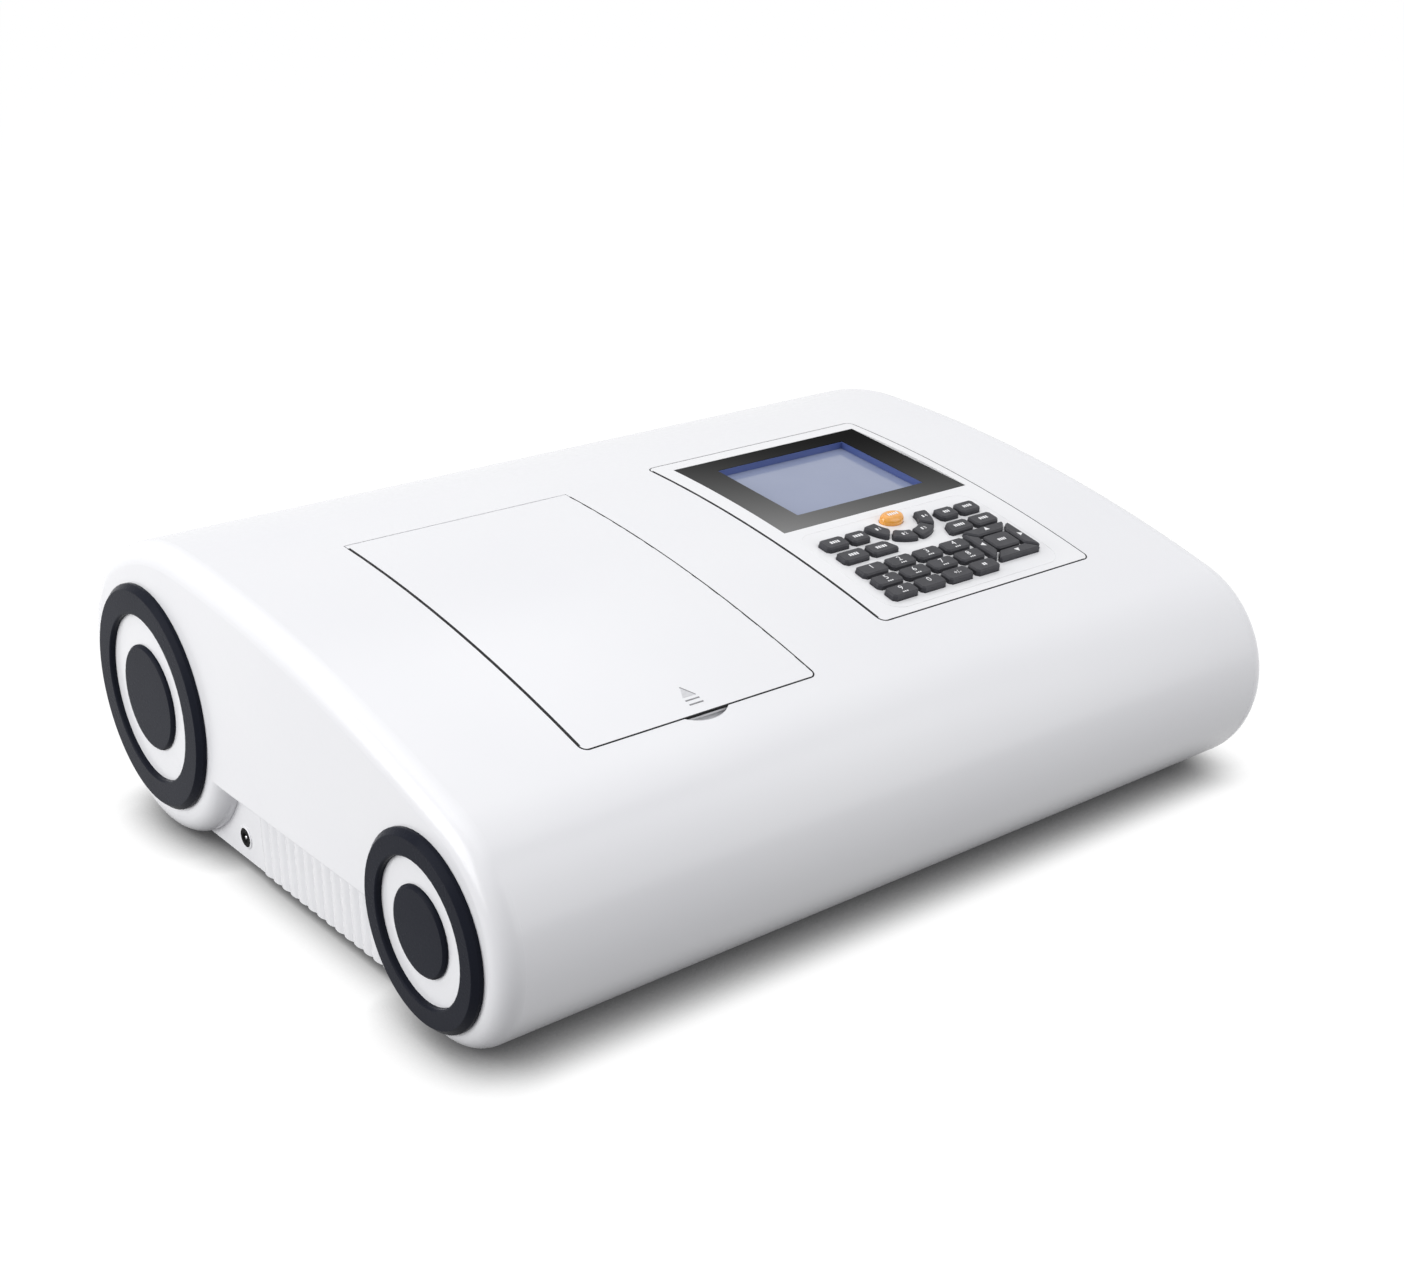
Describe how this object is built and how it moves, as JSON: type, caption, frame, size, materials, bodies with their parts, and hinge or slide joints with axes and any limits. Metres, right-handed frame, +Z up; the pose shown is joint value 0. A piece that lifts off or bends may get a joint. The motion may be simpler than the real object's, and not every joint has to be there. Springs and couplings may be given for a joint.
{
  "type": "double beam spectrophotometer",
  "caption": "Lab spectrophotometer: curved white case with lobed ends, hinged lid over the sample well, tilted display and keypad.",
  "frame": {"origin": "on the bench under the middle of the case", "axes": "+X to the user's right, +Y to the back, +Z up"},
  "size_m": [0.638, 0.518, 0.2084],
  "materials": {
    "case_white": "glossy white moulding",
    "panel_white": "glossy white moulding",
    "trim_black": "satin blue-black moulding",
    "bezel_black": "glossy black plate",
    "screen_blue": "pale blue liquid crystal screen, blank",
    "key_grey": "satin dark grey keys",
    "enter_orange": "glossy orange key",
    "socket_black": "black moulding",
    "foot_rubber": "matt black rubber",
    "well_black": "matt black lining",
    "quartz": "clear quartz",
    "black_anodised": "black anodised",
    "steel": "ground rod",
    "plated_steel": "zinc plated sheet",
    "cast_alloy": "cast and bead blasted",
    "board_green": "circuit board"
  },
  "bodies": {
    "housing": {"top_cover": "case_white", "base_pan": "case_white", "left_end_cap": "case_white", "right_end_cap": "case_white", "trim_rings": "trim_black", "trim_hubs": "trim_black", "side_jack": "socket_black", "rubber_feet": "foot_rubber", "lid_hinge_pins": "steel", "sample_well": "well_black", "well_windows": "quartz", "carriage_rails": "steel", "reference_holder": "black_anodised", "control_panel": "panel_white", "display_bezel": "bezel_black", "display_module": "screen_blue", "key_board": "board_green", "power_inlet": "socket_black", "data_ports": "socket_black", "fan_frame": "socket_black", "optical_bench": "cast_alloy", "monochromator": "cast_alloy", "lamp_house": "cast_alloy", "detector_box": "cast_alloy", "power_supply": "plated_steel", "main_board": "board_green"},
    "lid": {"sample_lid": "case_white"},
    "carriage": {"cell_carriage": "black_anodised"},
    "rocker": {"power_rocker": "socket_black"},
    "fan": {"fan_rotor": "socket_black"},
    "button_help": {"key_help": "key_grey"},
    "button_load": {"key_load": "key_grey"},
    "button_save": {"key_save": "key_grey"},
    "button_print": {"key_print": "key_grey"},
    "button_set": {"key_set": "key_grey"},
    "button_zero": {"key_zero": "key_grey"},
    "button_start": {"key_start": "key_grey"},
    "button_stop": {"key_stop": "key_grey"},
    "button_f1": {"key_f1": "key_grey"},
    "button_f2": {"key_f2": "key_grey"},
    "button_f3": {"key_f3": "key_grey"},
    "button_f4": {"key_f4": "key_grey"},
    "button_enter": {"key_enter": "enter_orange"},
    "button_1": {"key_1": "key_grey"},
    "button_2": {"key_2": "key_grey"},
    "button_3": {"key_3": "key_grey"},
    "button_4": {"key_4": "key_grey"},
    "button_5": {"key_5": "key_grey"},
    "button_6": {"key_6": "key_grey"},
    "button_7": {"key_7": "key_grey"},
    "button_8": {"key_8": "key_grey"},
    "button_9": {"key_9": "key_grey"},
    "button_0": {"key_0": "key_grey"},
    "button_sign": {"key_sign": "key_grey"},
    "button_clear": {"key_clear": "key_grey"},
    "button_up": {"key_up": "key_grey"},
    "button_down": {"key_down": "key_grey"},
    "button_left": {"key_left": "key_grey"},
    "button_right": {"key_right": "key_grey"},
    "button_cell": {"key_cell": "key_grey"}
  },
  "joints": [
    {"name": "lid_hinge", "type": "hinge", "parent": "housing", "child": "lid", "pos_m": [-0.12925, 0.0785, 0.19811], "axis": [-1, 0, 0], "range_deg": [0, 105]},
    {"name": "carriage_slide", "type": "slide", "parent": "housing", "child": "carriage", "axis": [0, 1, 0], "range_m": [0, 0.064]},
    {"name": "power_switch", "type": "hinge", "parent": "housing", "child": "rocker", "pos_m": [0.248, 0.2245, 0.066], "axis": [-1, 0, 0], "range_deg": [0, 18]},
    {"name": "fan_spin", "type": "hinge", "parent": "housing", "child": "fan", "pos_m": [0.092, 0.215, 0.076], "axis": [0, 1, 0], "continuous": true},
    {"name": "press_help", "type": "slide", "parent": "housing", "child": "button_help", "axis": [0, 0.2385, -0.9711], "range_m": [0, 0.0015], "stiffness_N_per_m": 400, "springref_m": -0.0005},
    {"name": "press_load", "type": "slide", "parent": "housing", "child": "button_load", "axis": [0, 0.2385, -0.9711], "range_m": [0, 0.0015], "stiffness_N_per_m": 400, "springref_m": -0.0005},
    {"name": "press_save", "type": "slide", "parent": "housing", "child": "button_save", "axis": [0, 0.2385, -0.9711], "range_m": [0, 0.0015], "stiffness_N_per_m": 400, "springref_m": -0.0005},
    {"name": "press_print", "type": "slide", "parent": "housing", "child": "button_print", "axis": [0, 0.2385, -0.9711], "range_m": [0, 0.0015], "stiffness_N_per_m": 400, "springref_m": -0.0005},
    {"name": "press_set", "type": "slide", "parent": "housing", "child": "button_set", "axis": [0, 0.2385, -0.9711], "range_m": [0, 0.0015], "stiffness_N_per_m": 400, "springref_m": -0.0005},
    {"name": "press_zero", "type": "slide", "parent": "housing", "child": "button_zero", "axis": [0, 0.2385, -0.9711], "range_m": [0, 0.0015], "stiffness_N_per_m": 400, "springref_m": -0.0005},
    {"name": "press_start", "type": "slide", "parent": "housing", "child": "button_start", "axis": [0, 0.2385, -0.9711], "range_m": [0, 0.0015], "stiffness_N_per_m": 400, "springref_m": -0.0005},
    {"name": "press_stop", "type": "slide", "parent": "housing", "child": "button_stop", "axis": [0, 0.2385, -0.9711], "range_m": [0, 0.0015], "stiffness_N_per_m": 400, "springref_m": -0.0005},
    {"name": "press_f1", "type": "slide", "parent": "housing", "child": "button_f1", "axis": [0, 0.2385, -0.9711], "range_m": [0, 0.0015], "stiffness_N_per_m": 400, "springref_m": -0.0005},
    {"name": "press_f2", "type": "slide", "parent": "housing", "child": "button_f2", "axis": [0, 0.2385, -0.9711], "range_m": [0, 0.0015], "stiffness_N_per_m": 400, "springref_m": -0.0005},
    {"name": "press_f3", "type": "slide", "parent": "housing", "child": "button_f3", "axis": [0, 0.2385, -0.9711], "range_m": [0, 0.0015], "stiffness_N_per_m": 400, "springref_m": -0.0005},
    {"name": "press_f4", "type": "slide", "parent": "housing", "child": "button_f4", "axis": [0, 0.2385, -0.9711], "range_m": [0, 0.0015], "stiffness_N_per_m": 400, "springref_m": -0.0005},
    {"name": "press_enter", "type": "slide", "parent": "housing", "child": "button_enter", "axis": [0, 0.2385, -0.9711], "range_m": [0, 0.0015], "stiffness_N_per_m": 400, "springref_m": -0.0005},
    {"name": "press_1", "type": "slide", "parent": "housing", "child": "button_1", "axis": [0, 0.2385, -0.9711], "range_m": [0, 0.0015], "stiffness_N_per_m": 400, "springref_m": -0.0005},
    {"name": "press_2", "type": "slide", "parent": "housing", "child": "button_2", "axis": [0, 0.2385, -0.9711], "range_m": [0, 0.0015], "stiffness_N_per_m": 400, "springref_m": -0.0005},
    {"name": "press_3", "type": "slide", "parent": "housing", "child": "button_3", "axis": [0, 0.2385, -0.9711], "range_m": [0, 0.0015], "stiffness_N_per_m": 400, "springref_m": -0.0005},
    {"name": "press_4", "type": "slide", "parent": "housing", "child": "button_4", "axis": [0, 0.2385, -0.9711], "range_m": [0, 0.0015], "stiffness_N_per_m": 400, "springref_m": -0.0005},
    {"name": "press_5", "type": "slide", "parent": "housing", "child": "button_5", "axis": [0, 0.2385, -0.9711], "range_m": [0, 0.0015], "stiffness_N_per_m": 400, "springref_m": -0.0005},
    {"name": "press_6", "type": "slide", "parent": "housing", "child": "button_6", "axis": [0, 0.2385, -0.9711], "range_m": [0, 0.0015], "stiffness_N_per_m": 400, "springref_m": -0.0005},
    {"name": "press_7", "type": "slide", "parent": "housing", "child": "button_7", "axis": [0, 0.2385, -0.9711], "range_m": [0, 0.0015], "stiffness_N_per_m": 400, "springref_m": -0.0005},
    {"name": "press_8", "type": "slide", "parent": "housing", "child": "button_8", "axis": [0, 0.2385, -0.9711], "range_m": [0, 0.0015], "stiffness_N_per_m": 400, "springref_m": -0.0005},
    {"name": "press_9", "type": "slide", "parent": "housing", "child": "button_9", "axis": [0, 0.2385, -0.9711], "range_m": [0, 0.0015], "stiffness_N_per_m": 400, "springref_m": -0.0005},
    {"name": "press_0", "type": "slide", "parent": "housing", "child": "button_0", "axis": [0, 0.2385, -0.9711], "range_m": [0, 0.0015], "stiffness_N_per_m": 400, "springref_m": -0.0005},
    {"name": "press_sign", "type": "slide", "parent": "housing", "child": "button_sign", "axis": [0, 0.2385, -0.9711], "range_m": [0, 0.0015], "stiffness_N_per_m": 400, "springref_m": -0.0005},
    {"name": "press_clear", "type": "slide", "parent": "housing", "child": "button_clear", "axis": [0, 0.2385, -0.9711], "range_m": [0, 0.0015], "stiffness_N_per_m": 400, "springref_m": -0.0005},
    {"name": "press_up", "type": "slide", "parent": "housing", "child": "button_up", "axis": [0, 0.2385, -0.9711], "range_m": [0, 0.0015], "stiffness_N_per_m": 400, "springref_m": -0.0005},
    {"name": "press_down", "type": "slide", "parent": "housing", "child": "button_down", "axis": [0, 0.2385, -0.9711], "range_m": [0, 0.0015], "stiffness_N_per_m": 400, "springref_m": -0.0005},
    {"name": "press_left", "type": "slide", "parent": "housing", "child": "button_left", "axis": [0, 0.2385, -0.9711], "range_m": [0, 0.0015], "stiffness_N_per_m": 400, "springref_m": -0.0005},
    {"name": "press_right", "type": "slide", "parent": "housing", "child": "button_right", "axis": [0, 0.2385, -0.9711], "range_m": [0, 0.0015], "stiffness_N_per_m": 400, "springref_m": -0.0005},
    {"name": "press_cell", "type": "slide", "parent": "housing", "child": "button_cell", "axis": [0, 0.2385, -0.9711], "range_m": [0, 0.0015], "stiffness_N_per_m": 400, "springref_m": -0.0005}
  ]
}
